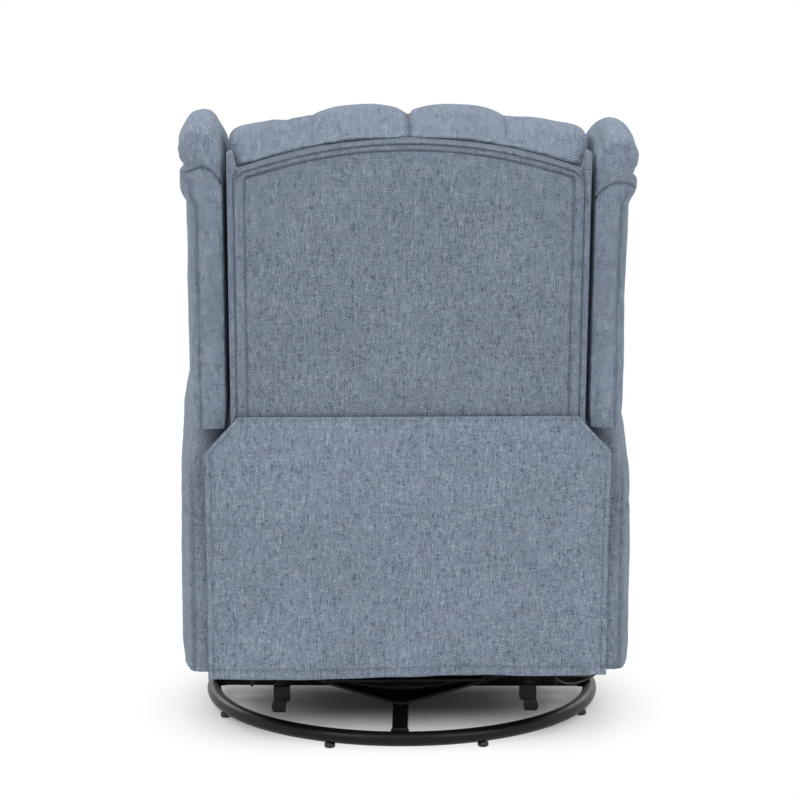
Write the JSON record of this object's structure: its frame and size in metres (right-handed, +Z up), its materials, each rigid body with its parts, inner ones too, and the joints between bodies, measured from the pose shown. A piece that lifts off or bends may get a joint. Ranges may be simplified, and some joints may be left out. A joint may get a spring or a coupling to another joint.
{
  "type": "swivel glider recliner",
  "caption": "Upholstered wing-back recliner that swivels, glides on hanging links and reclines, with a fold-out footrest and a round steel floor ring.",
  "frame": {"origin": "on the floor at the swivel axis, the centre of the floor ring", "axes": "+Z up, the sitter faces -Y, +X is the sitter's left"},
  "size_m": [0.712, 0.8795, 0.9941],
  "materials": {
    "fabric": "heathered blue-grey woven upholstery cloth",
    "black_steel": "black powder coat, semi-gloss",
    "zinc_steel": "zinc-plated steel",
    "black_plastic": "moulded black plastic",
    "rubber": "moulded black rubber",
    "wood": "raw frame timber and plywood"
  },
  "bodies": {
    "base": {"base_ring": "black_steel", "base_cross": "black_steel", "ring_glide_1": "black_plastic", "ring_glide_2": "black_plastic", "ring_glide_3": "black_plastic", "ring_glide_4": "black_plastic", "ring_glide_5": "black_plastic", "ring_glide_6": "black_plastic", "ring_glide_7": "black_plastic", "ring_glide_8": "black_plastic", "lower_race": "zinc_steel", "king_pin": "zinc_steel"},
    "swivel_stage": {"upper_race": "zinc_steel", "ball_cage": "zinc_steel", "swivel_plate": "black_steel", "glider_side_left": "black_steel", "glider_side_right": "black_steel", "glider_rail_front": "black_steel", "glider_rail_rear": "black_steel", "anti_tip_leg_left": "black_steel", "anti_tip_leg_right": "black_steel", "anti_tip_boot_left": "rubber", "anti_tip_boot_right": "rubber"},
    "front_glide_links": {"front_glide_link_left": "zinc_steel", "front_glide_link_right": "zinc_steel"},
    "rear_glide_links": {"rear_glide_link_left": "zinc_steel", "rear_glide_link_right": "zinc_steel"},
    "carriage": {"carriage_plate_left": "black_steel", "carriage_plate_right": "black_steel", "rear_box_rail": "wood", "arm_pad_left": "fabric", "arm_pad_right": "fabric", "arm_frame_left": "wood", "arm_frame_right": "wood", "release_cup": "black_plastic", "release_cable": "black_plastic", "rear_flap": "fabric"},
    "release_lever": {"release_lever": "black_plastic"},
    "seat": {"seat_frame": "wood", "seat_springs": "zinc_steel", "seat_cushion": "fabric"},
    "footrest_lower_links": {"footrest_lower_link_left": "zinc_steel", "footrest_lower_link_right": "zinc_steel"},
    "footrest_upper_links": {"footrest_upper_link_left": "zinc_steel", "footrest_upper_link_right": "zinc_steel"},
    "footrest_control_links": {"footrest_control_link_left": "zinc_steel", "footrest_control_link_right": "zinc_steel"},
    "footrest": {"footrest_board": "wood", "footrest_bracket_left": "zinc_steel", "footrest_bracket_right": "zinc_steel", "footrest_pad": "fabric"},
    "back": {"back_frame": "wood", "back_springs": "zinc_steel", "back_hinge_left": "zinc_steel", "back_hinge_right": "zinc_steel", "back_panel": "fabric", "back_cushion": "fabric", "wing_left": "fabric", "wing_right": "fabric"}
  },
  "joints": [
    {"name": "swivel", "type": "hinge", "parent": "base", "child": "swivel_stage", "pos_m": [0, 0, 0.05], "axis": [0, 0, 1], "continuous": true},
    {"name": "glide", "type": "hinge", "parent": "swivel_stage", "child": "front_glide_links", "pos_m": [0, -0.15, 0.214], "axis": [-1, 0, 0], "range_deg": [-15, 15]},
    {"name": "glide_level", "type": "hinge", "parent": "front_glide_links", "child": "carriage", "pos_m": [0, -0.15, 0.106], "axis": [-1, 0, 0], "range_deg": [-15, 15]},
    {"name": "rear_link_swing", "type": "hinge", "parent": "swivel_stage", "child": "rear_glide_links", "pos_m": [0, 0.15, 0.214], "axis": [-1, 0, 0], "range_deg": [-15, 15]},
    {"name": "recline", "type": "hinge", "parent": "carriage", "child": "back", "pos_m": [0, 0.3, 0.47], "axis": [-1, 0, 0], "range_deg": [0, 32], "deforming": ["rear_flap"]},
    {"name": "seat_slide", "type": "slide", "parent": "carriage", "child": "seat", "axis": [0, -1, 0], "range_m": [0, 0.045]},
    {"name": "footrest_open", "type": "hinge", "parent": "seat", "child": "footrest_lower_links", "pos_m": [0, -0.1, 0.34], "axis": [-1, 0, 0], "range_deg": [0, 57.09]},
    {"name": "footrest_upper_fold", "type": "hinge", "parent": "footrest_lower_links", "child": "footrest_upper_links", "pos_m": [0, -0.1725, 0.13759], "axis": [-1, 0, 0], "range_deg": [-77.48, 0]},
    {"name": "footrest_control_swing", "type": "hinge", "parent": "seat", "child": "footrest_control_links", "pos_m": [0, -0.05462, 0.34], "axis": [-1, 0, 0], "range_deg": [0, 61.26]},
    {"name": "footrest_panel_turn", "type": "hinge", "parent": "footrest_upper_links", "child": "footrest", "pos_m": [0, -0.368, 0.268], "axis": [-1, 0, 0], "range_deg": [0, 110.39]},
    {"name": "release_pull", "type": "hinge", "parent": "carriage", "child": "release_lever", "pos_m": [-0.3475, -0.1825, 0.4], "axis": [0, 0, 1], "range_deg": [0, 25], "stiffness_Nm_per_rad": 0.5, "springref_deg": -11.46}
  ],
  "couplings": [
    {"joint": "glide_level", "follows": "glide", "ratio": -1},
    {"joint": "rear_link_swing", "follows": "glide", "ratio": 1},
    {"joint": "seat_slide", "follows": "recline", "m_per_rad": 0.080571},
    {"joint": "footrest_upper_fold", "follows": "footrest_open", "ratio": -1.3572},
    {"joint": "footrest_control_swing", "follows": "footrest_open", "ratio": 1.073},
    {"joint": "footrest_panel_turn", "follows": "footrest_open", "ratio": 1.9337}
  ]
}
